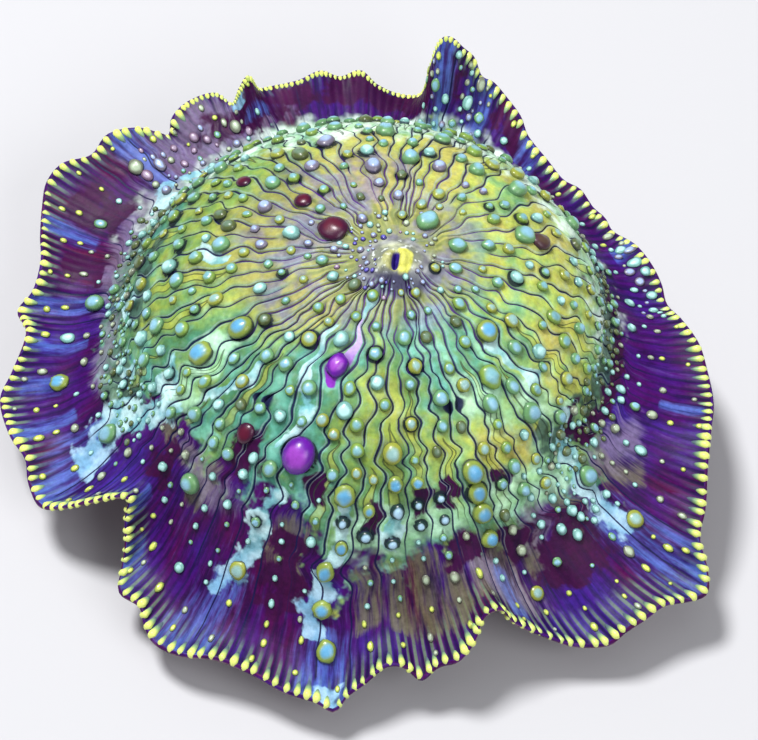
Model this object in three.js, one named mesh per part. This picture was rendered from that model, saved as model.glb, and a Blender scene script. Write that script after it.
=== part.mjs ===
// A mushroom coral: one soft polyp, cut off flat at its foot, where it held on to rock.
// Millimetres, +Z up. The origin is the centre of the flat foot, and +Y is the side where the skirt stands
// up behind the dome.
//
// The polyp grew as one piece, so it is one closed mesh. Rings of points run from the mouth over the dome,
// down into the trough, out along the wavy skirt to its margin, back under the skirt, and down the column.

import * as THREE from "three";

// ---- Driving dimensions ----
const COLUMNS = 150; // points in each ring
const RAY_WINDOW = 6; // how many neighbours on each side even out the dome's rays
const CALM_WINDOW = 3; // and how many even out the ruffles of the skirt's inner part

// The column's outline from the disc down to the flat foot: radius and height.
const COLUMN = [[17.5, 8.8], [15.4, 7.2], [14.6, 5], [15.2, 2.8], [16.6, 1.1], [18, 0]];

const TROUGH_HEIGHT = 12; // level of the fold between dome and skirt, over the foot
const DOME_RADIUS = 28;
const DOME_RISE = 18.5;
const MOUTH_OFFSET = 3.4; // the mouth sits this far along +X from the column's axis
const BACK_DOME_ANGLE = 78; // the dome ends this far down its quarter ellipse at the back and sides
const FRONT_DOME_ANGLE = 58; // and this far at the front, where it runs straight into the skirt

const LIPS_HEIGHT = 1.6;
const LIPS_RADIUS = 2.3;
const GULLET_DEPTH = 1.5;
const GULLET_RADIUS = 0.8;

const SKIRT_FLARE = 15; // degrees that the skirt points up at its margin
const SKIRT_HANDLE = 0.38; // how far the skirt's curve keeps its end directions, as a share of its span
const TROUGH_THICKNESS = 1.9;
const MARGIN_THICKNESS = 0.9;

// The margin, once round: bearing from +X in degrees, reach from the axis, and lift over the trough level.
const MARGIN = [
  // right shoulder, drooping behind the dome
  [0, 38, 0], [6, 36.5, -1], [11, 35.5, -2.5], [15, 35.5, -2], [19, 35, -1], [24.5, 34.5, -1.5],
  [30, 33.5, -2.5], [33, 33.5, -2], [37, 33.5, -2.5], [41, 33.5, -1.5], [45, 33, -1.5], [49.5, 33, 0],
  // tall pleat
  [55, 33.5, 1.5], [58, 34.5, 3], [62, 35.5, 4], [65, 35.5, 6], [67, 35, 7], [69, 35.5, 9.5],
  [71, 35, 11.5], [73.5, 35, 13], [75.5, 34.5, 12.5], [76.8, 33.5, 9], [77.6, 33.5, 5], [79, 33.5, 2.5],
  // raised back edge, with a small curl at its left end
  [83, 33.5, 2], [87.5, 33.5, 3.5], [91, 34.5, 5], [95, 34.5, 4], [99, 34.5, 5.5], [103.5, 34, 5],
  [109, 34.5, 4.5], [111.7, 34.5, 5], [113.5, 34.5, 8], [115.5, 34.5, 6], [117, 35, 3],
  // scallops of the left back
  [119, 37, 3.5], [124, 37.5, 3.5], [128, 37, 3], [129.5, 36.5, 1], [131.5, 37, 2], [134, 39, 2.5],
  [138, 41, 2], [142, 41, 1], [146, 43, 1], [149.5, 43.5, 0], [153, 42.5, -0.5], [159, 40.5, 0],
  [164, 39, 0.5], [169, 39, -0.5], [172, 40.5, -2], [176, 39, -1], [179, 39, -1], [183, 40.5, -3],
  // left lobe, down to the deep notch
  [187, 42, -4], [194, 41.5, -3], [199, 40.5, -3], [202.5, 41, -4], [207, 41, -4], [210, 39.5, -2.5],
  [213.5, 37, 0], [217, 34.5, 2], [219, 33.5, 2],
  // left front lobe
  [220, 34.5, -0.5], [222.5, 36, -3], [224, 37.5, -5], [226.5, 39.5, -5.5], [231, 39.5, -5],
  [233, 40.5, -6], [236, 41.5, -6.5], [240.5, 41.5, -6], [246.5, 40.5, -5], [252, 40.5, -5.5],
  // front lobes and the front notch
  [258, 41.5, -6], [262.5, 42, -6], [265.5, 42.5, -7], [267.5, 41, -6], [270, 40, -5], [273.5, 38.5, -4],
  [276.5, 38.5, -4.5], [279, 39.5, -6], [282, 39, -4.5], [285, 39.5, -3], [288, 38.5, -1.5],
  [290.5, 37, 0.5], [293.5, 37, 1], [295.5, 38, -1.5],
  // right front lobe and the right side
  [300, 40, -4.5], [303.5, 42, -6], [307.5, 44, -6], [310, 44.5, -4.5], [313.5, 45, -4], [316.5, 45.5, -3.5],
  [319.5, 47, -4], [322, 48, -4], [324.5, 46.5, -3], [327.5, 44, -2], [331.5, 43, -1], [336.5, 41.5, 1],
  [342.5, 40.5, 1.5], [349, 40, 0], [355, 39, -0.5],
];

// Where the rings lie: shares of the way over the dome, out along the skirt, back under it, and on inwards.
const DOME_SHARES = [0.03, 0.065, 0.11, 0.2, 0.32, 0.46, 0.6, 0.74, 0.88, 1];
const SKIRT_SHARES = [0.14, 0.3, 0.46, 0.62, 0.76, 0.88, 1];
const UNDERSIDE_SHARES = [1, 0.82, 0.62, 0.42];
const ROOF_SHARES = [0.33, 0.67];

const radians = THREE.MathUtils.degToRad;
const turn = 2 * Math.PI;
const up = new THREE.Vector3(0, 0, 1);
const mouth = new THREE.Vector3(MOUTH_OFFSET, 0, 0);

const bearingOf = (point) => Math.atan2(point.y, point.x);
const around = (make) => Array.from({ length: COLUMNS }, (_, i) => make(i));
const towards = (bearing) => new THREE.Vector3(Math.cos(bearing), Math.sin(bearing), 0);

// The margin's points, evenly spaced along the whole wavy edge.
function marginRing() {
  const lobes = MARGIN.map(([bearing, reach, lift]) =>
    towards(radians(bearing)).multiplyScalar(reach).setZ(TROUGH_HEIGHT + lift),
  );
  const curve = new THREE.CatmullRomCurve3(lobes, true, "catmullrom", 0.5);
  curve.arcLengthDivisions = 24 * lobes.length;
  return around((i) => curve.getPointAt(i / COLUMNS));
}

// Averages a ring's values over a window of neighbours.
function smoothed(values, halfWindow) {
  return values.map((_, i) => {
    let sum = 0;
    let weights = 0;
    for (let k = -halfWindow; k <= halfWindow; k++) {
      const weight = 1 + Math.cos((Math.PI * k) / (halfWindow + 1));
      sum += weight * values[(i + k + COLUMNS) % COLUMNS];
      weights += weight;
    }
    return sum / weights;
  });
}

function calmed(ring) {
  const [x, y, z] = ["x", "y", "z"].map((axis) => smoothed(ring.map((point) => point[axis]), CALM_WINDOW));
  return x.map((_, i) => new THREE.Vector3(x[i], y[i], z[i]));
}

// Bearings of the dome's rays: the margin's own bearings with the waves smoothed out of them.
function rayBearings(margin) {
  const even = (i) => (turn * i) / COLUMNS;
  const apart = margin.map((point, i) => {
    const gap = bearingOf(point) - even(i);
    return gap - turn * Math.round(gap / turn);
  });
  return smoothed(apart, RAY_WINDOW).map((gap, i) => gap + even(i));
}

// A cone of lips with the gullet in its middle, as a height over the dome at this distance from the mouth.
function lips(distance) {
  const cone = LIPS_HEIGHT * Math.exp(-((distance / LIPS_RADIUS) ** 2));
  return cone - GULLET_DEPTH * Math.exp(-((distance / GULLET_RADIUS) ** 2));
}

// The dome is a quarter ellipse along each ray, drawn over so that its top is at the mouth.
function domePoint(ray, share) {
  const angle = ray.domeAngle * share;
  const point = mouth.clone().addScaledVector(ray.span, Math.sin(angle));
  const distance = Math.hypot(point.x - mouth.x, point.y - mouth.y);
  return point.setZ(TROUGH_HEIGHT + DOME_RISE * Math.cos(angle) + lips(distance));
}

function domeSlope(ray) {
  const slope = ray.span.clone().multiplyScalar(Math.cos(ray.domeAngle));
  return slope.setZ(-DOME_RISE * Math.sin(ray.domeAngle)).normalize();
}

// The skirt is a Bezier curve that leaves the dome along its slope and ends with a slight upward flare. Its
// bend follows the calmed margin, so that the small ruffles die out towards the dome.
function skirtCurve(ray, edge, calmEdge) {
  const start = domePoint(ray, 1);
  const handle = SKIRT_HANDLE * start.distanceTo(calmEdge);
  const flare = towards(bearingOf(calmEdge)).multiplyScalar(Math.cos(radians(SKIRT_FLARE)));
  flare.setZ(Math.sin(radians(SKIRT_FLARE)));
  const first = start.clone().addScaledVector(domeSlope(ray), handle);
  const second = calmEdge.clone().addScaledVector(flare, -handle);
  return new THREE.CubicBezierCurve3(start, first, second, edge);
}

// The skirt's lower side lies straight under its upper side, so that no pleat closes on itself.
function underside(skirt, share) {
  const thickness = THREE.MathUtils.lerp(TROUGH_THICKNESS, MARGIN_THICKNESS, share);
  return skirt.getPoint(share).addScaledVector(up, -thickness);
}

function columnRing(rays, [radius, height]) {
  return rays.map((ray) => towards(ray.bearing).multiplyScalar(radius).setZ(height));
}

function polypRings() {
  const margin = marginRing();
  const rays = rayBearings(margin).map((bearing) => {
    const front = (0.5 - 0.5 * Math.sin(bearing)) ** 2; // 1 at -Y and 0 at +Y
    const span = towards(bearing).multiplyScalar(DOME_RADIUS).sub(mouth);
    const domeAngle = radians(THREE.MathUtils.lerp(BACK_DOME_ANGLE, FRONT_DOME_ANGLE, front));
    return { bearing, span, domeAngle };
  });
  const calmMargin = calmed(margin);
  const skirts = rays.map((ray, i) => skirtCurve(ray, margin[i], calmMargin[i]));
  const column = COLUMN.map((outline) => columnRing(rays, outline));
  const inner = skirts.map((skirt) => underside(skirt, UNDERSIDE_SHARES.at(-1)));
  return [
    ...DOME_SHARES.map((share) => rays.map((ray) => domePoint(ray, share))),
    ...SKIRT_SHARES.map((share) => skirts.map((skirt) => skirt.getPoint(share))),
    ...UNDERSIDE_SHARES.map((share) => skirts.map((skirt) => underside(skirt, share))),
    ...ROOF_SHARES.map((share) => inner.map((point, i) => point.clone().lerp(column[0][i], share))),
    ...column,
  ];
}

// One closed surface over the rings, with a point at each end.
function closedSurface(rings, top, bottom) {
  const points = [top, ...rings.flat(), bottom];
  const at = (ring, i) => 1 + ring * COLUMNS + (i % COLUMNS);
  const last = rings.length - 1;
  const faces = [];
  for (let i = 0; i < COLUMNS; i++) {
    faces.push(0, at(0, i), at(0, i + 1));
    for (let ring = 0; ring < last; ring++) {
      faces.push(at(ring, i), at(ring + 1, i), at(ring + 1, i + 1));
      faces.push(at(ring, i), at(ring + 1, i + 1), at(ring, i + 1));
    }
    faces.push(at(last, i), points.length - 1, at(last, i + 1));
  }
  const geometry = new THREE.BufferGeometry().setFromPoints(points);
  geometry.setIndex(faces);
  geometry.computeVertexNormals();
  return geometry;
}

function makePolyp() {
  const gulletFloor = mouth.clone().setZ(TROUGH_HEIGHT + DOME_RISE + lips(0));
  const flesh = new THREE.MeshStandardMaterial({ color: 0x6f8a3c, roughness: 0.4, metalness: 0 });
  const polyp = new THREE.Mesh(closedSurface(polypRings(), gulletFloor, new THREE.Vector3()), flesh);
  polyp.name = "polyp";
  return polyp;
}

const coral = new THREE.Group();
coral.add(makePolyp());

export default coral;
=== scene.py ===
"""Looks of the mushroom coral: furrowed flesh, bubble tentacles and the beaded rim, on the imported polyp.

Shapes are worked out in millimetres and become metres when a mesh is made. A place on the polyp's skin is
given by its ray, which counts furrows round the disc from +X, and its share, which is 0 at the mouth, 1 where
the dome ends and 2 at the rim of the skirt.
"""
import math

import bpy
import numpy as np
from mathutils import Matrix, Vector


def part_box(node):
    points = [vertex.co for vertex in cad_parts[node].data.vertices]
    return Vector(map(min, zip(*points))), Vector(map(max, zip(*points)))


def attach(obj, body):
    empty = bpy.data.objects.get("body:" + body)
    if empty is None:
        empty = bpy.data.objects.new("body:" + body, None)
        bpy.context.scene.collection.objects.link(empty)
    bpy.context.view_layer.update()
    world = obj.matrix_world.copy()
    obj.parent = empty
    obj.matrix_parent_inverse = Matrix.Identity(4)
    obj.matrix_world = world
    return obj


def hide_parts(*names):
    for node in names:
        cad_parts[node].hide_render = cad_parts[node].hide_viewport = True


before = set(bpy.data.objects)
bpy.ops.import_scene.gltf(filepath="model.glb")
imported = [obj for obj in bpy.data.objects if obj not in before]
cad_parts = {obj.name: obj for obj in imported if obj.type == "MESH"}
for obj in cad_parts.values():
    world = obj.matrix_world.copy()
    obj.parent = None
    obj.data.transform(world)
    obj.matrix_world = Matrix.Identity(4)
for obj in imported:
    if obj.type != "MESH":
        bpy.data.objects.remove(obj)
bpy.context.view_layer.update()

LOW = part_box("polyp")[0]
MM = 0.001
rng = np.random.default_rng(7)

# ---- Driving dimensions of the polyp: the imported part's, with one more step in the column's foot ----
TROUGH_HEIGHT = 12.0
DOME_RADIUS = 28.0
DOME_RISE = 18.5
MOUTH = np.array([3.4, 0.0])
BACK_DOME_ANGLE = math.radians(78)
FRONT_DOME_ANGLE = math.radians(58)
SKIRT_FLARE = math.radians(15)
SKIRT_HANDLE = 0.38
TROUGH_THICKNESS = 1.9
RIM_THICKNESS = 0.9
COLUMN = [(17.5, 8.8), (15.4, 7.2), (14.6, 5), (15.2, 2.8), (16.6, 1.1), (17.8, 0.25), (18, 0)]

# The rim, once round: bearing from +X in degrees, reach from the axis, and lift over the trough.
RIM = [
    # right shoulder, drooping behind the dome
    (0, 38, 0), (6, 36.5, -1), (11, 35.5, -2.5), (15, 35.5, -2), (19, 35, -1), (24.5, 34.5, -1.5),
    (30, 33.5, -2.5), (33, 33.5, -2), (37, 33.5, -2.5), (41, 33.5, -1.5), (45, 33, -1.5), (49.5, 33, 0),
    # tall pleat
    (55, 33.5, 1.5), (58, 34.5, 3), (62, 35.5, 4), (65, 35.5, 6), (67, 35, 7), (69, 35.5, 9.5),
    (71, 35, 11.5), (73.5, 35, 13), (75.5, 34.5, 12.5), (76.8, 33.5, 9), (77.6, 33.5, 5), (79, 33.5, 2.5),
    # raised back edge, with a small curl at its left end
    (83, 33.5, 2), (87.5, 33.5, 3.5), (91, 34.5, 5), (95, 34.5, 4), (99, 34.5, 5.5), (103.5, 34, 5),
    (109, 34.5, 4.5), (111.7, 34.5, 5), (113.5, 34.5, 8), (115.5, 34.5, 6), (117, 35, 3),
    # scallops of the left back
    (119, 37, 3.5), (124, 37.5, 3.5), (128, 37, 3), (129.5, 36.5, 1), (131.5, 37, 2), (134, 39, 2.5),
    (138, 41, 2), (142, 41, 1), (146, 43, 1), (149.5, 43.5, 0), (153, 42.5, -0.5), (159, 40.5, 0),
    (164, 39, 0.5), (169, 39, -0.5), (172, 40.5, -2), (176, 39, -1), (179, 39, -1), (183, 40.5, -3),
    # left lobe, down to the deep notch
    (187, 42, -4), (194, 41.5, -3), (199, 40.5, -3), (202.5, 41, -4), (207, 41, -4), (210, 39.5, -2.5),
    (213.5, 37, 0), (217, 34.5, 2), (219, 33.5, 2),
    # left front lobe
    (220, 34.5, -0.5), (222.5, 36, -3), (224, 37.5, -5), (226.5, 39.5, -5.5), (231, 39.5, -5),
    (233, 40.5, -6), (236, 41.5, -6.5), (240.5, 41.5, -6), (246.5, 40.5, -5), (252, 40.5, -5.5),
    # front lobes and the front notch
    (258, 41.5, -6), (262.5, 42, -6), (265.5, 42.5, -7), (267.5, 41, -6), (270, 40, -5), (273.5, 38.5, -4),
    (276.5, 38.5, -4.5), (279, 39.5, -6), (282, 39, -4.5), (285, 39.5, -3), (288, 38.5, -1.5),
    (290.5, 37, 0.5), (293.5, 37, 1), (295.5, 38, -1.5),
    # right front lobe and the right side
    (300, 40, -4.5), (303.5, 42, -6), (307.5, 44, -6), (310, 44.5, -4.5), (313.5, 45, -4),
    (316.5, 45.5, -3.5), (319.5, 47, -4), (322, 48, -4), (324.5, 46.5, -3), (327.5, 44, -2),
    (331.5, 43, -1), (336.5, 41.5, 1), (342.5, 40.5, 1.5), (349, 40, 0), (355, 39, -0.5),
]

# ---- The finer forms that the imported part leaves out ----
RAYS = 60
RAY_COLUMNS = 10  # mesh columns in each ray
DOME_ROWS = 82
SKIRT_ROWS = 52
RIM_ROWS = 4
UNDER_ROWS = 12
ROOF_ROWS = 4
CONE_HEIGHT = 2.3
CONE_RADIUS = 2.9
LIPS_HEIGHT = 0.55
LIPS = MOUTH + [0, -1.4]  # the cone leans to the front
SLIT_HALF_WIDTH = 0.38
SLIT_HALF_LENGTH = 1.05
SLIT_DEPTH = 1.7
SLIT_LEAN = 0.12
FURROW_DEPTH = 0.28
FURROW_WIDTH = 0.15
STRAY_KNOTS = 46  # bends along each furrow
STRAY_SIZE = 0.68
MOST_STRAY = 0.38  # in rays
LEAST_GAP = 0.3  # between two furrows, in rays
BEADS_PER_RAY = 4
BACK_BEADS_PER_RAY = 8
BACK_EDGE = range(10, 20)  # the rays of the raised back edge
LARGE_TENTACLE = 0.5  # radius
GRAIN_SCALE = 1700.0  # per metre
RIM_STEPS = 24  # along each piece of the rim's curve
CALM_REACH = 0.026  # how far round the ruffles are averaged out, for the skirt's inner part
BEARING_REACH = 0.046  # and for the bearings of the rays

SHARES = np.linspace(0, 2, 201)  # where the tables below are worked out
TABLE_COLUMNS = 20 * RAYS
TINY = 1e-9
FAR_AWAY = 999.0
UNDER_START, UNDER_END = 60, 90  # stand-in lengths run for the points underneath, past any on top


def smooth_step(low, high, value):
    """0 below low, 1 above high, and an even S between them."""
    part = np.clip((value - low) / (high - low), 0, 1)
    return part * part * (3 - 2 * part)


def bell(value, width):
    return np.exp(-((value / width) ** 2))


# ---- The smooth skin ----

def rim_ring():
    """Points at equal steps along the whole wavy rim, on a Catmull-Rom curve through the rim's list."""
    bearing, reach, lift = np.array(RIM, float).T
    bearing = np.radians(bearing)
    knots = np.stack([reach * np.cos(bearing), reach * np.sin(bearing), TROUGH_HEIGHT + lift], -1)
    before, after, beyond = (np.roll(knots, shift, 0)[:, None] for shift in (1, -1, -2))
    here = knots[:, None]
    t = np.linspace(0, 1, RIM_STEPS, endpoint=False)[None, :, None]
    curve = 0.5 * (2 * here + (after - before) * t + (2 * before - 5 * here + 4 * after - beyond) * t ** 2
                   + (3 * here - before - 3 * after + beyond) * t ** 3)
    curve = curve.reshape(-1, 3)
    closed = np.vstack([curve, curve[:1]])
    travelled = np.concatenate([[0], np.cumsum(np.linalg.norm(np.diff(closed, axis=0), axis=1))])
    stops = np.linspace(0, travelled[-1], TABLE_COLUMNS, endpoint=False)
    return np.stack([np.interp(stops, travelled, closed[:, axis]) for axis in range(3)], -1)


def ring_average(ring, reach):
    """Averages each value of a closed ring with its neighbours up to this share of the way round."""
    half = int(reach * len(ring))
    steps = np.arange(-half, half + 1)
    weights = 1 + np.cos(np.pi * steps / (half + 1))
    return sum(w * np.roll(ring, s, 0) for w, s in zip(weights, steps)) / weights.sum()


RIM_RING = rim_ring()
CALM_RING = ring_average(RIM_RING, CALM_REACH)
EVEN_BEARINGS = 2 * np.pi * np.arange(TABLE_COLUMNS) / TABLE_COLUMNS
RIM_BEARINGS = np.unwrap(np.arctan2(RIM_RING[:, 1], RIM_RING[:, 0]))
BEARING_SHIFT = ring_average((RIM_BEARINGS - EVEN_BEARINGS)[:, None], BEARING_REACH)


def around(ring, ray):
    """Reads a closed ring of table values at these rays."""
    place = np.asarray(ray, float) / RAYS * len(ring)
    low = np.floor(place).astype(int)
    part = (place - low)[..., None]
    return ring[low % len(ring)] * (1 - part) + ring[(low + 1) % len(ring)] * part


def bearing_at(ray):
    return 2 * np.pi * np.asarray(ray, float) / RAYS + around(BEARING_SHIFT, ray)[..., 0]


def mouth_height(x, y):
    """The cone of lips, and the slit in it, which leans a little."""
    along = y - LIPS[1]
    across = x - LIPS[0] - SLIT_LEAN * along
    cone = CONE_HEIGHT * np.exp(-((across ** 2 + along ** 2) / CONE_RADIUS ** 2) ** 0.85)
    lips = LIPS_HEIGHT * np.exp(-((np.abs(across) - 0.95) / 0.6) ** 2 - (along / 1.25) ** 2)
    slit = np.exp(-(across / SLIT_HALF_WIDTH) ** 2 - (along / SLIT_HALF_LENGTH) ** 4)
    return cone + lips - SLIT_DEPTH * slit


def dome_point(span, angle):
    xy = MOUTH + span * np.sin(angle)[..., None]
    z = TROUGH_HEIGHT + DOME_RISE * np.cos(angle) + mouth_height(xy[..., 0], xy[..., 1])
    return np.concatenate([xy, z[..., None]], -1)


def skin(ray, share):
    """Points of the smooth upper skin, without furrows."""
    ray, share = np.broadcast_arrays(np.asarray(ray, float), np.asarray(share, float))
    bearing = bearing_at(ray)
    front = (0.5 - 0.5 * np.sin(bearing)) ** 2
    last_angle = BACK_DOME_ANGLE + (FRONT_DOME_ANGLE - BACK_DOME_ANGLE) * front
    span = DOME_RADIUS * np.stack([np.cos(bearing), np.sin(bearing)], -1) - MOUTH
    dome = dome_point(span, last_angle * np.minimum(share, 1))

    start = dome_point(span, last_angle)
    edge = around(RIM_RING, ray)
    calm = around(CALM_RING, ray)
    handle = SKIRT_HANDLE * np.linalg.norm(calm - start, axis=-1)[..., None]
    drop = -DOME_RISE * np.sin(last_angle)
    slope = np.concatenate([span * np.cos(last_angle)[..., None], drop[..., None]], -1)
    slope /= np.linalg.norm(slope, axis=-1)[..., None]
    calm_bearing = np.arctan2(calm[..., 1], calm[..., 0])
    level, rising = math.cos(SKIRT_FLARE), math.sin(SKIRT_FLARE)
    flare = [np.cos(calm_bearing) * level, np.sin(calm_bearing) * level, np.full(ray.shape, rising)]
    flare = np.stack(flare, -1)
    t = np.clip(share - 1, 0, 1)[..., None]
    skirt = ((1 - t) ** 3 * start + 3 * (1 - t) ** 2 * t * (start + slope * handle)
             + 3 * (1 - t) * t ** 2 * (calm - flare * handle) + t ** 3 * edge)
    return np.where(share[..., None] <= 1, dome, skirt)


def skin_axes(ray, share):
    """Directions outwards, round the disc, and straight up out of the skin."""
    share = np.clip(share, 0.02, 1.995)
    out = skin(ray, share + 0.005) - skin(ray, share - 0.005)
    side = skin(ray + 0.05, share) - skin(ray - 0.05, share)
    normal = np.cross(out, side)
    return [v / np.linalg.norm(v, axis=-1)[..., None] for v in (out, np.cross(normal, out), normal)]


# ---- Tables of the skin's size ----
FURROWS = np.arange(RAYS)
GRID = skin(FURROWS[:, None], SHARES[None, :])
RAY_WIDTH = np.linalg.norm(np.roll(GRID, -1, 0) - GRID, axis=-1)
STEP_LENGTH = np.linalg.norm(np.diff(GRID, axis=1), axis=-1)
LENGTH = np.concatenate([np.zeros((RAYS, 1)), np.cumsum(STEP_LENGTH, 1)], 1)


def read_row(table, furrow, share):
    """Reads one furrow's row of a table, between its entries too."""
    place = np.clip(share, 0, 2) * (len(SHARES) - 1) / 2
    low = np.minimum(np.floor(place).astype(int), len(SHARES) - 2)
    part = place - low
    furrow = np.asarray(furrow).astype(int) % RAYS
    return table[furrow, low] * (1 - part) + table[furrow, low + 1] * part


def read_table(table, ray, share):
    """Reads a table of furrows by shares, between its furrows too."""
    low = np.floor(ray)
    side = ray - low
    return read_row(table, low, share) * (1 - side) + read_row(table, low + 1, share) * side


# ---- Tentacles: where they stand ----
# Each kind: colour of its crown, colour of its flank. The crown colour is partly the tip's own pale colour
# and partly a painted highlight.
KINDS = {
    "teal": ((0.27, 0.54, 0.70), (0.15, 0.34, 0.14)),
    "green": ((0.22, 0.48, 0.54), (0.22, 0.36, 0.06)),
    "olive": ((0.30, 0.52, 0.50), (0.33, 0.37, 0.05)),
    "eye": ((0.13, 0.42, 0.70), (0.27, 0.36, 0.06)),
    "mauve": ((0.46, 0.36, 0.50), (0.20, 0.12, 0.20)),
    "indigo": ((0.16, 0.14, 0.62), (0.05, 0.04, 0.22)),
    "dim": ((0.15, 0.24, 0.16), (0.10, 0.13, 0.04)),
    "lens": ((0.46, 0.72, 0.92), (0.012, 0.04, 0.035)),
    "lilac": ((0.40, 0.54, 0.86), (0.19, 0.17, 0.24)),
    "red": ((0.10, 0.003, 0.024), (0.055, 0.002, 0.028)),
    "brown": ((0.09, 0.05, 0.03), (0.06, 0.02, 0.03)),
    "magenta": ((0.36, 0.06, 0.56), (0.13, 0.004, 0.34)),
    "ice": ((0.50, 0.86, 0.84), (0.20, 0.44, 0.40)),
    "lemon": ((0.78, 0.86, 0.16), (0.34, 0.42, 0.08)),
    "cream": ((0.50, 0.62, 0.44), (0.20, 0.22, 0.16)),
}

# The tentacles that stand out: ray, share, radius and kind.
CHOSEN = [
    (22.2, 0.58, 0.85, "red"), (21.9, 0.33, 0.95, "red"), (23.8, 0.19, 1.5, "red"),
    (2.0, 0.57, 1.1, "brown"), (41.2, 0.48, 1.15, "magenta"), (41.2, 0.88, 1.75, "magenta"),
    (49.4, 1.0, 1.25, "eye"), (49.4, 1.12, 1.1, "eye"), (49.4, 1.24, 1.15, "eye"),
    (49.4, 1.4, 1.1, "eye"), (43.4, 1.04, 1.2, "eye"), (43.0, 1.38, 1.05, "eye"),
    (43.0, 1.56, 1.15, "eye"), (43.2, 1.76, 1.15, "eye"), (29.9, 1.66, 1.05, "eye"),
    (32.9, 0.53, 1.25, "eye"), (32.9, 0.70, 1.3, "eye"), (37.6, 1.24, 1.15, "teal"),
    (2.3, 0.50, 1.15, "teal"), (4.8, 0.60, 1.1, "teal"), (6.1, 0.17, 1.15, "teal"),
    (1.8, 0.22, 0.95, "teal"), (54.6, 0.46, 1.2, "eye"), (52.5, 0.62, 1.2, "green"),
    (53.5, 0.86, 1.15, "teal"), (45.4, 0.84, 1.2, "olive"), (16.4, 0.55, 1.05, "lilac"),
    (14.6, 0.36, 0.95, "lilac"), (13.5, 0.6, 1.1, "teal"), (11.4, 0.42, 1.0, "teal"),
    (18.6, 0.44, 0.85, "lilac"), (9.2, 0.62, 1.0, "teal"), (26.8, 0.52, 1.0, "teal"),
    (25.6, 0.30, 0.85, "ice"), (40.4, 1.5, 1.0, "olive"), (22.4, 1.7, 0.95, "cream"),
    (27.4, 1.45, 1.0, "teal"), (32.4, 1.42, 1.1, "teal"), (54.3, 1.3, 1.15, "teal"),
    (54.5, 1.62, 1.0, "olive"), (51.6, 1.55, 0.55, "teal"), (50.5, 1.7, 0.8, "olive"),
    (38.7, 0.86, 1.0, "red"), (2.2, 1.82, 0.6, "lilac"), (2.7, 1.88, 0.65, "ice"),
    (2.5, 1.76, 0.5, "lilac"), (3.2, 1.84, 0.55, "ice"), (3.1, 1.93, 0.5, "lilac"),
    (1.8, 1.9, 0.55, "ice"), (3.8, 1.9, 0.5, "cream"), (1.3, 1.84, 0.45, "ice"),
]


# Where small bumps crowd together: first and last ray, first and last share, how many are tried, and kinds.
CROWDS = [
    (23.0, 33.5, 0.98, 1.36, 420, ("teal", "dim", "dim", "ice")),
    (53.6, 63.5, 0.98, 1.32, 420, ("teal", "ice", "dim", "dim")),
    (4.0, 23.0, 0.98, 1.2, 420, ("teal", "ice", "green", "ice")),
    (18.2, 22.4, 1.15, 1.8, 110, ("mauve", "lilac", "mauve", "cream")),
    (61.0, 63.4, 1.7, 1.95, 60, ("ice", "cream", "lilac", "ice")),
    (8.4, 11.6, 1.25, 1.95, 70, ("ice", "cream", "lilac", "teal")),
    (51.5, 54.0, 1.1, 1.45, 40, ("ice", "teal", "cream", "ice")),
    (18.0, 52.0, 0.06, 0.17, 170, ("lilac", "indigo", "ice", "lilac")),
    (0.0, 60.0, 0.08, 0.19, 110, ("lilac", "ice", "mauve", "cream")),
]


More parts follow.
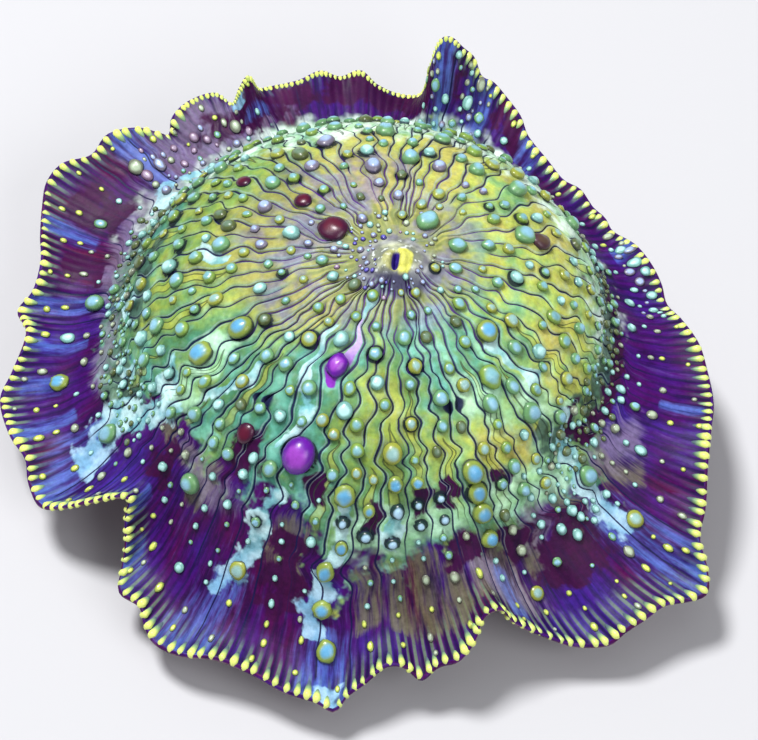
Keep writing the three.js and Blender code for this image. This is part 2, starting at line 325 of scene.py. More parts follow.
def scattered_tentacles():
    """Fills the skin between the chosen tentacles. Small ones crowd the folds, and fewer are on the skirt."""
    placed = list(CHOSEN)
    tries = 9000
    most = tries + len(placed) + sum(crowd[4] for crowd in CROWDS)
    points = np.full((most, 3), FAR_AWAY)
    sizes = np.zeros(most)
    for number, (ray, share, radius, _) in enumerate(placed):
        points[number], sizes[number] = skin(ray, share), radius

    def place_if_free(ray, share, point, radius, room, kind):
        gaps = np.linalg.norm(points[:len(placed)] - point, axis=1) - sizes[:len(placed)]
        if gaps.min() > radius + room:
            points[len(placed)], sizes[len(placed)] = point, radius
            placed.append((ray, share, radius, kind))

    rays = rng.integers(RAYS, size=tries) + 0.5 + rng.uniform(-0.12, 0.12, tries)
    shares = rng.uniform(0.15, 1.95, tries)
    picks = rng.random((tries, 3))
    spots = skin(rays, shares)
    widths = read_table(RAY_WIDTH, rays, shares)
    for ray, share, point, width, (keep, size, pick) in zip(rays, shares, spots, widths, picks):
        if keep > width / 2.6 or (11.8 < ray < 17.6 and share > 1.3):
            continue
        apron = 43.5 < ray < 53 and 0.9 < share < 1.3
        if share < 1 or apron:
            radius, room = 0.5 + 0.45 * size, 0.85
            radius *= 0.72 + 0.28 * smooth_step(0.2, 0.5, share)
            near_mouth = share < 0.45 and 5 < ray < 27
            kinds = ("teal", "green", "olive", "dim", "lilac" if near_mouth else "ice")
            edges = (0.2, 0.36, 0.5, 0.58) if near_mouth else (0.34, 0.62, 0.82, 0.9)
            kind = kinds[int(np.searchsorted(edges, pick))]
            if 43 < ray < 49.2 and 0.98 < share < 1.36:
                kind = "lens" if pick < 0.72 else "eye"
        elif share < 1.68:
            radius, room = 0.28 + 0.34 * size ** 2, (0.8 if ray > 54 or ray < 12 else 1.3)
            kind = "ice" if pick < 0.5 else "cream" if pick < 0.8 else "teal"
        else:
            radius, room = 0.24 + 0.2 * size, 1.2
            kind = "lemon" if pick < 0.72 else "cream"
        place_if_free(ray, share, point, radius, room, kind)
    lips_reach = 2.0
    for first, last, low, high, count, kinds in CROWDS:
        small = 0.72 if high < 0.2 else 1
        rays = rng.uniform(first, last, count) % RAYS
        shares = rng.uniform(low, high, count)
        picks = rng.random((count, 2))
        for ray, share, point, (size, pick) in zip(rays, shares, skin(rays, shares), picks):
            if np.hypot(*(point[:2] - LIPS)) < lips_reach:
                continue
            radius = small * (0.22 + 0.42 * size ** 1.5)
            place_if_free(ray, share, point, radius, 0.14, kinds[int(pick * 4)])
    return placed


TENTACLES = scattered_tentacles()


# ---- Furrows: where they run ----
MAJOR_FURROWS = [33, 34, 40, 41, 43, 44, 49, 50, 54, 55, 27, 28, 22, 23, 10, 11]
SPLITS = [(38, 0.71), (49, 0.69)]  # where this furrow and the next gape and nearly meet
SPLIT_LENGTH = 0.035
THIN_FURROWS = [24, 26, 29, 31, 36, 38, 46, 52, 57, 1, 5, 9, 15, 18, 21]
FURROW_FORCE = np.where(np.isin(np.arange(RAYS), THIN_FURROWS), 0.5, 1.0)


def furrow_tables():
    """How far each furrow strays from its ray, in rays, and how deep it is, at each share."""
    width = np.maximum(0.5 * (RAY_WIDTH + np.roll(RAY_WIDTH, 1, 0)), TINY)
    stray = rng.normal(size=(RAYS, STRAY_KNOTS))
    stray = 0.25 * np.roll(stray, 1, 0) + 0.6 * stray + 0.25 * np.roll(stray, -1, 0)
    fine = np.stack([np.interp(SHARES, np.linspace(0, 2, STRAY_KNOTS), row) for row in stray])
    fine = np.stack([np.convolve(np.pad(row, 3, "edge"), np.hanning(9)[1:-1] / 4, "valid") for row in fine])
    calm = 1 - 0.94 * smooth_step(0.95, 1.4, SHARES)
    shift = np.clip(STRAY_SIZE * fine * calm / width, -MOST_STRAY, MOST_STRAY)
    base = shift.copy()
    places = []
    for number, (ray, share, radius, _) in enumerate(TENTACLES):
        place = ray + (0 if number < len(CHOSEN) else read_table(base, ray, share))
        places.append(place)
        here = int(np.floor(ray))
        lean = place - here - 0.5 - 0.5 * (read_row(base, here, share) + read_row(base, here + 1, share))
        per_share = (read_table(LENGTH, ray, share + 0.01) - read_table(LENGTH, ray, share)) / 0.01
        nearby = bell(SHARES - share, radius * 1.4 / per_share)
        push = max(0.0, (radius + 0.12) / read_table(RAY_WIDTH, ray, share) - 0.4)
        yielding = 1 if share < 1.4 else 0.15
        if share > 0.15 and radius > 0.45:
            for away, part in ((0, 1), (1, 0.45), (2, 0.15)):
                shift[(here - away) % RAYS] += (lean - push) * part * nearby * yielding
                shift[(here + 1 + away) % RAYS] += (lean + push) * part * nearby * yielding
    for furrow, share in SPLITS:
        shift[furrow] += 0.27 * bell(SHARES - share, SPLIT_LENGTH)
        shift[furrow + 1] -= 0.27 * bell(SHARES - share, SPLIT_LENGTH)
    shift *= smooth_step(2.0, 1.8, SHARES)
    for _ in range(10):
        tight = 0.5 * np.clip(LEAST_GAP - (1 + np.roll(shift, -1, 0) - shift), 0, None)
        shift += np.roll(tight, 1, 0) - tight

    late = rng.random(RAYS)
    start = np.choose(FURROWS * 7 % 5 % 3, [0.11 + 0.04 * late, 0.14 + 0.08 * late, 0.2 + 0.14 * late])
    start[MAJOR_FURROWS] = 0.11
    depth = smooth_step(0, 0.04, SHARES[None, :] - start[:, None]) * FURROW_FORCE[:, None]
    major = np.isin(FURROWS, MAJOR_FURROWS)[:, None]
    fade_from = 1.06 + 0.25 * rng.random(RAYS)[:, None]
    depth *= 1 - np.where(major, 0.45, 0.8) * smooth_step(0, 0.3, SHARES[None, :] - fade_from)
    depth *= smooth_step(1.97, 1.85, SHARES)[None, :]
    for furrow, share in SPLITS:
        depth[furrow:furrow + 2] += 1.7 * bell(SHARES - share + 0.012, SPLIT_LENGTH * 0.8)
    return shift, depth, places


FURROW_SHIFT, FURROW_DEPTHS, PLACES = furrow_tables()


def lane(ray, share):
    """Where a ray really runs, once its furrows have strayed."""
    return ray + read_table(FURROW_SHIFT, ray, share)


# ---- Strokes of colour: each runs along a line of (ray, share) and has a half width in rays ----
STROKES = {
    "pale": [
        ([(41.5, 0.14), (41.5, 0.34)], 0.34),
        ([(39.3, 0.34), (40.2, 0.56), (40.6, 0.72), (40.6, 0.86)], 0.3),
        ([(40.9, 1.08), (40.7, 1.2), (40.6, 1.36), (40.3, 1.52), (40.0, 1.62)], 0.36),
        ([(43.6, 1.1), (43.5, 1.34)], 0.26),
        ([(43.2, 1.42), (43.1, 1.5), (42.6, 1.58), (42.8, 1.7)], 0.3), ([(43.4, 1.94), (43.4, 2.0)], 0.3),
        ([(54.5, 0.5), (54.7, 0.62), (54.8, 0.76)], 0.35),
        ([(54.9, 0.98), (54.8, 1.12), (54.1, 1.24), (54.0, 1.42), (54.1, 1.6)], 0.4),
        ([(34.2, 0.98), (33.4, 1.08), (32.6, 1.26)], 0.7), ([(32.2, 1.2), (32.3, 1.5), (32.6, 1.7)], 0.5),
        ([(32.5, 0.84), (32.9, 0.92)], 0.45), ([(35.4, 0.78), (36.2, 0.7)], 0.4),
        ([(36.7, 0.6), (36.7, 0.68)], 0.36), ([(22.6, 1.26), (22.4, 1.44)], 0.4),
        ([(21.6, 1.4), (20.8, 1.32)], 0.35), ([(28.3, 1.0), (28.1, 1.14)], 0.4),
        ([(18.3, 1.86), (18.3, 2.0)], 0.34), ([(30.7, 1.16), (31.1, 1.08)], 0.3),
        ([(27.3, 0.52), (27.1, 0.57)], 0.4), ([(45.5, 1.16), (45.5, 1.3)], 0.3),
    ],
    "blue": [
        ([(40.2, 1.56), (39.9, 1.8), (39.7, 2.0)], 0.5), ([(43.2, 1.72), (43.4, 2.0)], 0.5),
        ([(53.9, 1.5), (54.2, 2.0)], 0.55), ([(32.3, 1.5), (32.6, 1.8), (33.0, 2.0)], 0.55),
        ([(22.2, 1.4), (22.1, 2.0)], 0.3), ([(27.7, 1.1), (27.4, 1.6), (27.4, 2.0)], 0.18),
        ([(10.3, 1.2), (10.4, 1.7), (10.4, 2.0)], 0.3), ([(49.5, 1.6), (49.5, 1.9)], 0.25),
        ([(17.6, 1.66), (17.4, 1.72)], 0.5), ([(29.9, 1.66), (29.9, 1.9)], 0.2),
        ([(37.3, 1.86), (37.3, 2.0)], 0.4), ([(58.0, 1.66), (58.1, 1.95)], 0.12),
        ([(6.5, 1.5), (6.8, 2.0)], 0.25), ([(8.6, 1.4), (8.9, 2.0)], 0.35),
        ([(3.0, 1.7), (3.3, 2.0)], 0.15), ([(25.2, 1.6), (25.1, 2.0)], 0.2),
        ([(28.8, 1.5), (28.8, 2.0)], 0.12), ([(31.0, 1.6), (31.2, 2.0)], 0.15),
        ([(35.8, 1.7), (36.0, 2.0)], 0.2),
    ],
    "tan": [
        ([(13.0, 0.34), (20.0, 0.42), (27.0, 0.38), (34.0, 0.3)], 2.2),
    ],
    "frost": [
        ([(1.4, 1.06), (6.0, 1.16), (13.0, 1.18), (22.0, 1.2)], 2.5),
        ([(2.5, 0.92), (7.0, 0.82), (16.0, 0.74), (20.0, 0.86)], 1.5),
    ],
    "deep": [
        ([(21.5, 0.62), (27.5, 0.74), (33.5, 0.66), (39.0, 0.72), (45.0, 0.9)], 2.6),
        ([(23.0, 0.9), (29.0, 1.0)], 1.6), ([(45.5, 0.5), (47.0, 0.62)], 1.2),
        ([(33.0, 1.0), (36.0, 0.96), (43.0, 1.16), (48.0, 1.18)], 1.5),
    ],
    "shade": [
        ([(23.5, 1.12), (26.0, 1.2), (29.5, 1.24), (31.5, 1.16)], 1.3),
        ([(53.8, 1.06), (56.0, 1.1), (59.0, 1.16), (2.0, 1.12), (4.5, 1.2)], 0.9),
        ([(53.4, 0.98), (53.8, 1.05)], 0.5), ([(26.0, 0.88), (29.0, 0.96)], 0.7),
    ],
    "ribs": [
        ([(45.6, 1.9), (48.0, 1.86), (52.6, 1.92)], 1.4),
        ([(34.0, 1.95), (37.0, 1.92), (39.0, 1.95)], 1.2), ([(24.0, 1.97), (31.0, 1.97)], 0.8),
        ([(5.5, 1.95), (9.0, 1.95)], 1.0), ([(40.5, 1.97), (44.0, 1.97)], 0.8),
    ],
    "magenta": [
        ([(41.5, 0.30), (41.5, 0.55)], 0.28),
    ],
    "plum": [
        ([(38.9, 0.9), (39.3, 1.0)], 0.7), ([(42.2, 0.98), (42.4, 1.06)], 0.4),
        ([(48.3, 1.04), (48.6, 1.1)], 0.4), ([(48.4, 1.4), (48.2, 1.52)], 0.7),
        ([(52.2, 1.42), (52.0, 1.62)], 1.0), ([(50.6, 1.36), (50.4, 1.46)], 0.7),
        ([(41.6, 1.3), (41.8, 1.6)], 0.7), ([(18.0, 1.7), (16.0, 1.8), (13.0, 1.8), (11.5, 1.7)], 1.9),
        ([(24.0, 1.5), (24.2, 1.8)], 0.5), ([(26.2, 1.5), (26.2, 1.8)], 0.4),
        ([(56.6, 1.24), (58.4, 1.26), (0.4, 1.24), (2.4, 1.2)], 0.7), ([(35.4, 1.25), (35.6, 1.5)], 0.8),
        ([(55.4, 1.04), (55.9, 1.2)], 0.6), ([(44.6, 1.08), (44.6, 1.2)], 0.3),
        ([(46.6, 1.06), (46.6, 1.14)], 0.4), ([(47.9, 1.06), (48.1, 1.16)], 0.45),
        ([(50.4, 1.06), (50.8, 1.1)], 0.35), ([(6.8, 1.6), (7.6, 1.9)], 0.8),
    ],
    "blush": [
        ([(21.6, 1.34), (24.0, 1.36), (26.5, 1.36)], 1.2),
        ([(21.4, 1.3), (20.6, 1.5), (19.8, 1.8), (18.6, 1.6), (19.4, 1.3)], 1.6),
        ([(29.0, 1.26), (30.0, 1.34)], 0.8), ([(51.5, 1.3), (51.0, 1.4)], 0.6),
        ([(36.6, 1.14), (38.6, 1.2)], 0.8), ([(49.0, 1.6), (49.6, 1.8)], 0.8),
        ([(55.4, 1.3), (56.6, 1.5)], 0.7),
    ],
    "mint": [
        ([(21.5, 1.12), (24.5, 1.16), (27.5, 1.2), (31.0, 1.2)], 1.3), ([(33.0, 0.62), (34.0, 0.9)], 1.0),
        ([(44.5, 1.22), (48.5, 1.26)], 1.1), ([(54.0, 0.8), (55.0, 1.0)], 0.8),
        ([(50.6, 1.16), (52.5, 1.2), (53.6, 1.1)], 1.1), ([(50.5, 0.66), (52.5, 0.8)], 0.9),
    ],
    "moss": [
        ([(44.6, 1.42), (44.6, 1.7)], 0.35), ([(45.5, 1.4), (45.6, 1.76)], 0.3),
        ([(46.5, 1.4), (46.6, 1.8)], 0.45), ([(47.6, 1.5), (47.6, 1.84)], 0.4),
        ([(48.6, 1.56), (48.6, 1.84)], 0.3), ([(49.5, 1.4), (49.5, 1.8)], 0.6),
        ([(51.0, 1.4), (50.8, 1.56)], 0.4), ([(38.0, 1.12), (37.8, 1.3)], 0.5),
        ([(36.6, 1.1), (36.4, 1.2)], 0.4), ([(41.8, 1.22), (41.8, 1.4)], 0.5),
        ([(52.8, 1.3), (53.0, 1.5)], 0.4), ([(34.6, 1.08), (35.4, 1.2)], 0.4),
        ([(55.0, 1.34), (55.8, 1.6)], 0.4),
    ],
    "warm": [
        ([(20.0, 0.45), (24.0, 0.55), (28.0, 0.5)], 3.6),
        ([(14.0, 0.46), (8.0, 0.5), (3.0, 0.6), (58.5, 0.7)], 3.8), ([(57.5, 0.86), (55.5, 0.92)], 2.4),
        ([(51.5, 0.92), (47.5, 0.9)], 2.2), ([(44.5, 0.66), (45.5, 0.8)], 2.0),
        ([(38.5, 0.3), (32.5, 0.36)], 1.6),
    ],
}

# Where the dome's yellow and green give way to the skirt's purple: ray and share.
DOME_EDGE = [
    (0, 1.12), (3, 1.1), (8, 1.14), (13, 1.3), (17, 1.28), (20, 1.26), (23, 1.24), (27, 1.3), (29, 1.34),
    (31, 1.26), (33, 1.0), (36, 1.04), (39, 1.1), (41.8, 1.26), (43.5, 1.32), (45.3, 1.4), (48.5, 1.44),
    (50, 1.4), (51.2, 1.38), (53.1, 1.36), (55.8, 1.26), (58, 1.24), (60, 1.12),
]


def stroke_mask(ray, share, line, half_width):
    """1 along a stroke, falling to 0 at twice its half width, in rays."""
    best = np.full(np.shape(ray), FAR_AWAY)
    share_scale = 11.0  # rays are about this many times shorter than a whole share
    for (ray_a, share_a), (ray_b, share_b) in zip(line, line[1:]):
        wrap = (ray - ray_a + RAYS / 2) % RAYS - RAYS / 2
        run = (ray_b - ray_a + RAYS / 2) % RAYS - RAYS / 2
        rise = (share_b - share_a) * share_scale
        up = (share - share_a) * share_scale
        t = np.clip((wrap * run + up * rise) / (run * run + rise * rise + TINY), 0, 1)
        best = np.minimum(best, np.hypot(wrap - t * run, up - t * rise))
    return smooth_step(2 * half_width, 0, best)


def mask(name, ray, share):
    return np.max([stroke_mask(ray, share, line, width) for line, width in STROKES[name]], axis=0)


# ---- Meshes ----

def make_object(name, points, faces, material):
    mesh = bpy.data.meshes.new(name)
    mesh.from_pydata((points * MM).tolist(), [], faces)
    mesh.validate()
    piece = bpy.data.objects.new(name, mesh)
    bpy.context.collection.objects.link(piece)
    mesh.materials.append(material)
    mesh.shade_smooth()
    return piece


def give_values(piece, name, values):
    """Stores one number, or one vector, on each point of a piece."""
    values = np.asarray(values, np.float32)
    kind, field = ("FLOAT_VECTOR", "vector") if values.ndim > 1 else ("FLOAT", "value")
    layer = piece.data.attributes.new(name, kind, "POINT")
    layer.data.foreach_set(field, values.ravel())


def give_uv(piece, name, corner_uv):
    layer = piece.data.uv_layers.new(name=name)
    layer.data.foreach_set("uv", np.asarray(corner_uv, np.float32).ravel())


def corner_points(piece):
    index = np.zeros(len(piece.data.loops), int)
    piece.data.loops.foreach_get("vertex_index", index)
    return index


def ray_columns():
    """Ray places of the mesh's columns, closer together beside each furrow."""
    step = np.arange(RAY_COLUMNS) / RAY_COLUMNS
    part = 0.5 - 0.5 * np.cos(np.pi * step)
    part = 0.6 * part + 0.4 * step
    return (FURROWS[:, None] + part[None, :]).ravel()


def furrow_profile(ray, share):
    """Height of the ridges and furrows over the smooth skin, the furrows' depth and the rays' width."""
    fraction = ray - np.floor(ray)
    nearest = np.minimum(fraction, 1 - fraction)
    depth = read_row(FURROW_DEPTHS, np.round(ray), share)
    width = read_table(RAY_WIDTH, ray, share)
    distance = nearest * width
    pillow = -np.clip(1 - nearest / 0.5, 0, 1) ** 3
    groove = -bell(distance, FURROW_WIDTH * (0.7 + 0.3 * depth))
    height = FURROW_DEPTH * depth ** 0.8 * (0.5 * pillow + 0.75 * groove)
    height = height * (1 - 0.55 * smooth_step(1.1, 1.4, share))
    return height, depth, width


def flesh_points():
    """The upper skin's grid, with the mounds under the tentacles and the strength of the dark rings round
    them, which are partly dark skin and partly painted contact shadow.
    """
    ray = ray_columns()[None, :]
    dome_share = np.linspace(0, 1, DOME_ROWS + 1)[1:] ** 1.25
    skirt_share = 1 + np.linspace(0, 1, SKIRT_ROWS + 1)[1:]
    share = np.concatenate([dome_share, skirt_share])[:, None]
    ray, share = np.broadcast_arrays(ray, share)
    strayed = lane(ray, share)
    points = skin(strayed, share)
    normals = skin_axes(strayed, share)[2]
    height, depth, width = furrow_profile(ray, share)

    ring = np.zeros(ray.shape)
    for place, (_, tentacle_share, radius, kind) in zip(PLACES, TENTACLES):
        centre = skin(place, tentacle_share)
        distance = np.linalg.norm(points - centre, axis=-1)
        near = distance < radius + 1.2
        height[near] += 0.3 * radius * bell(distance[near], radius * 1.2) * (1 + 0.4 * depth[near])
        # some tentacles get a strong, near-black ring: partly dark skin and partly painted contact shadow
        # round the tentacle
        dark_rim_and_shade = rng.random() < (0.7 if kind == "lens" else 0.14)
        strength = (1.0 if dark_rim_and_shade else 0.45) if tentacle_share < 1.42 else 0.25
        strength *= radius > 0.45
        line = bell(distance[near] - radius * 1.05, 0.32 + 0.06 * dark_rim_and_shade)
        ring[near] = np.maximum(ring[near], strength * line)
    points = points + normals * height[..., None]
    return ray, share, points, depth, width, ring


def under_rows(plain_ray, edge):
    """Rings of points round the rim, back under the skirt, down the column and in over the cut foot."""
    columns = len(plain_ray)
    outward = skin_axes(plain_ray, np.full(columns, 1.99))[0]
    rows = []
    turns = np.linspace(0, np.pi, RIM_ROWS + 2)[1:-1]
    drop = np.array([0, 0, 1.0]) * RIM_THICKNESS / 2
    for turn in turns:
        rows.append(edge - drop * (1 - math.cos(turn)) + outward * RIM_THICKNESS / 2 * math.sin(turn))
    for part in np.linspace(1, 0.42, UNDER_ROWS):
        thickness = TROUGH_THICKNESS + (RIM_THICKNESS - TROUGH_THICKNESS) * part
        rows.append(skin(plain_ray, 1 + part) - np.array([0, 0, thickness]))
    bearing = bearing_at(plain_ray)
    folds = 0.5 * np.cos(19 * bearing + 2 * np.sin(3 * bearing))
    folds += 0.3 * np.cos(31 * bearing + 3 * np.cos(bearing))
    column = []
    for radius, height in COLUMN:
        reach = radius * (1 + 0.035 * folds * smooth_step(0, 2, height))
        ring_points = [reach * np.cos(bearing), reach * np.sin(bearing), np.full(columns, height)]
        column.append(np.stack(ring_points, -1))
    roof = rows[-1]
    rows += [roof + (column[0] - roof) * part for part in np.linspace(0, 1, ROOF_ROWS + 1)[1:-1]]
    return rows + column + [column[-1] * [0.5, 0.5, 1]]


def ring_faces(count, columns):
    """Faces between rings of points, with a fan at each end to the first and the last point."""
    faces = []
    sides = [(i, (i + 1) % columns) for i in range(columns)]
    for row in range(count - 1):
        here, below = 1 + row * columns, 1 + (row + 1) * columns
        faces += [(here + i, below + i, below + j, here + j) for i, j in sides]
    last = 1 + (count - 1) * columns
    faces += [(0, 1 + i, 1 + j) for i, j in sides]
    faces += [(last + i, last + columns, last + j) for i, j in sides]
    return faces


def make_flesh(material):
    ray, share, upper, depth, width, ring = flesh_points()
    plain_ray = ray[0]
    columns = len(plain_ray)
    rows = [*upper, *under_rows(plain_ray, upper[-1])]
    count = len(rows)
    upper_rows = len(upper)
    lower_rows = count - upper_rows
    mouth = skin(np.array(0.0), np.array(0.0))
    points = np.vstack([mouth[None], *rows, np.zeros((1, 3))])
    piece = make_object("flesh", points, ring_faces(count, columns), material)

    def spread(values, lower, mouth_value):
        """Fits a grid of upper values to every point, with plain values for the parts underneath."""
        return np.concatenate([[mouth_value], values.ravel(), np.full(lower_rows * columns, lower), [lower]])

    boundary = np.interp(ray % RAYS, *np.array(DOME_EDGE).T)
    length = read_table(LENGTH, ray, share)
    inland = read_table(LENGTH, ray, 2.0) - length
    for name, values, lower, mouth_value in (
            ("dome", (boundary - share) * 12, -9, 9), ("furrow", depth, 0, 0), ("gap", width, 1.6, 0.1),
            ("ring", ring, 0, 0), ("inland", inland, UNDER_START, UNDER_START),
            ("pin", read_pins(ray, share), -9, -9)):
        give_values(piece, name, spread(values, lower, mouth_value))
    share_all = spread(share, 3, 0)
    share_all[1 + upper_rows * columns:] = np.append(np.repeat(np.linspace(2, 3, lower_rows), columns), 3)
    give_values(piece, "share", share_all)
    for name in STROKES:
        give_values(piece, name, spread(mask(name, ray, share), 0, 0))
    turn = np.concatenate([[0], np.tile(2 * np.pi * plain_ray / RAYS, count), [0]])
    radius = RAYS / (2 * np.pi)
    under = np.repeat(np.linspace(UNDER_START, UNDER_END, lower_rows), columns)
    along = np.concatenate([[0], length.ravel(), under, [UNDER_END]])
    give_values(piece, "grain", np.stack([radius * np.cos(turn), radius * np.sin(turn), along], -1))

    corner = corner_points(piece)
    column_of = (corner - 1) % columns
    row_of = (corner - 1) // columns
    inner = (corner > 0) & (corner < len(points) - 1)
    u = np.where(inner, plain_ray[column_of], 0)
    u = unwrap_corners(piece, u, inner)
    give_uv(piece, "rays", np.stack([u, share_all[corner]], -1))
    bake_row = np.where(inner, row_of, np.where(corner == 0, -1, count))
    give_uv(piece, "OFBake", bake_layout(u, bake_row, upper_rows, count))
    return piece


def unwrap_corners(piece, u, inner):
    """Lets the ray place run on past the last ray where faces close the ring, and centres the end fans."""
    polygon_start = np.zeros(len(piece.data.polygons), int)
    polygon_total = np.zeros(len(piece.data.polygons), int)
    piece.data.polygons.foreach_get("loop_start", polygon_start)
    piece.data.polygons.foreach_get("loop_total", polygon_total)
    face_of = np.repeat(np.arange(len(polygon_start)), polygon_total)
    highest = np.zeros(len(polygon_start))
    np.maximum.at(highest, face_of, np.where(inner, u, 0))
    u = np.where(inner & (highest[face_of] > RAYS - 2) & (u < 2), u + RAYS, u)
    total = np.zeros(len(polygon_start))
    np.add.at(total, face_of, np.where(inner, u, 0))
    number = np.zeros(len(polygon_start))
    np.add.at(number, face_of, inner)
    return np.where(inner, u, (total / np.maximum(number, 1))[face_of])


def bake_layout(u, row, upper_rows, count):
    """A big disc for the upper side and a small one in the corner for the rest."""
    big_middle, big_reach, small_middle, small_reach = 0.4475, 0.44, 0.868, 0.125
    angle = 2 * np.pi * u / RAYS
    upper = row < upper_rows
    lower_part = (count - row) / (count - upper_rows + 1)
    reach = np.where(upper, (row + 1) / upper_rows * big_reach, lower_part * small_reach)
    middle = np.where(upper, big_middle, small_middle)
    return np.stack([middle + reach * np.cos(angle), middle + reach * np.sin(angle)], -1)


# Thin pairs of furrows that open from a point inside a ridge: ray and the share where they begin.
PINS = [
    (48, 0.8), (50, 0.87), (47, 1.28), (35, 0.82), (30, 0.55), (33, 0.62), (28, 0.48), (25, 0.7),
    (45, 0.7), (37, 0.5), (53, 0.6), (56, 0.52), (58, 0.66), (1, 0.7), (4, 0.75), (8, 0.6), (12, 0.66),
    (15, 0.6), (17, 0.7), (20, 0.64), (42, 0.78), (51, 0.5), (46, 0.56), (23, 0.78), (31, 0.85),
    (38, 0.9), (6, 0.5), (44, 0.9),
]


def read_pins(ray, share):
    """Length run from the start of the ridge's own thin pair, in millimetres, or below 0 before it."""
    result = np.full(ray.shape, -9.0)
    own = np.floor(ray).astype(int) % RAYS
    length = read_table(LENGTH, ray, share)
    for furrow, start in PINS:
        begin = read_table(LENGTH, furrow + 0.5, start)
        here = own == furrow
        result[here] = (length - begin)[here]
    return result


def ellipsoid(segments, rings):
    """Unit directions, faces and pole distance of a closed ball."""
    polar = np.linspace(0, np.pi, rings + 1)[1:-1]
    turn = np.linspace(0, 2 * np.pi, segments, endpoint=False)
    grid = np.stack([np.outer(np.sin(polar), np.cos(turn)), np.outer(np.sin(polar), np.sin(turn)),
                     np.repeat(np.cos(polar)[:, None], segments, 1)], -1).reshape(-1, 3)
    points = np.vstack([[0, 0, 1], grid, [0, 0, -1]])
    faces = []
    for i in range(segments):
        j = (i + 1) % segments
        faces.append((0, 1 + i, 1 + j))
        for row in range(rings - 2):
            a, b = 1 + row * segments, 1 + (row + 1) * segments
            faces.append((a + i, b + i, b + j, a + j))
        last = 1 + (rings - 2) * segments
        faces.append((last + i, len(points) - 1, last + j))
    return points, faces


def make_tentacles(name, wanted, segments, rings, material):
    """The bubble tentacles of these sizes, as one joined mesh of closed balls sunk into the skin."""
    ball, ball_faces = ellipsoid(segments, rings)
    points, faces, rise, crown_and_highlight, flank, spin = [], [], [], [], [], []
    for place, (ray, share, radius, kind) in zip(PLACES, TENTACLES):
        if not wanted(radius):
            continue
        out, side, up = skin_axes(np.array(place), np.array(share))
        stretch = 1.0 + (0.8 * rng.random() if share > 1.5 and radius < 0.8 else 0.3 * rng.random())
        tall = rng.uniform(0.62, 0.84) if share < 1.5 else 0.55
        if kind == "red":
            tall = 0.5
        size = radius * np.array([stretch, 1.0, tall])
        lump = 1 + 0.07 * np.sin(ball @ rng.normal(size=3) * 3 + rng.uniform(0, 6))
        local = ball * size * lump[:, None]
        centre = skin(place, share) + up * radius * (0.16 + 0.3 * tall)
        base = len(points) * len(ball)
        points.append(centre + local[:, :1] * out + local[:, 1:2] * side + local[:, 2:3] * up)
        faces += [tuple(i + base for i in face) for face in ball_faces]
        rise.append(ball[:, 2])
        crown_and_highlight.append(np.tile(KINDS[kind][0], (len(ball), 1)))
        flank.append(np.tile(KINDS[kind][1], (len(ball), 1)))
        spin.append(np.full(len(ball), rng.random()))
    piece = make_object(name, np.vstack(points), faces, material)
    give_values(piece, "rise", np.concatenate(rise))
    give_values(piece, "crown_and_highlight", np.vstack(crown_and_highlight))
    give_values(piece, "flank", np.vstack(flank))
    give_values(piece, "spin", np.concatenate(spin))
    pack_round(piece, ball, len(points))
    return piece


def pack_round(piece, ball, count):
    """Lays every ball out as a round patch in its own cell of the bake image."""
    across = math.ceil(math.sqrt(count))
    corner = corner_points(piece)
    number, part = corner // len(ball), corner % len(ball)
    reach = np.arccos(np.clip(ball[:, 2], -1, 1)) / np.pi * 0.47
    turn = np.arctan2(ball[:, 1], ball[:, 0])
    u = (number % across + 0.5 + reach[part] * np.cos(turn[part])) / across
    v = (number // across + 0.5 + reach[part] * np.sin(turn[part])) / across
    give_uv(piece, "OFBake", np.stack([u, v], -1))


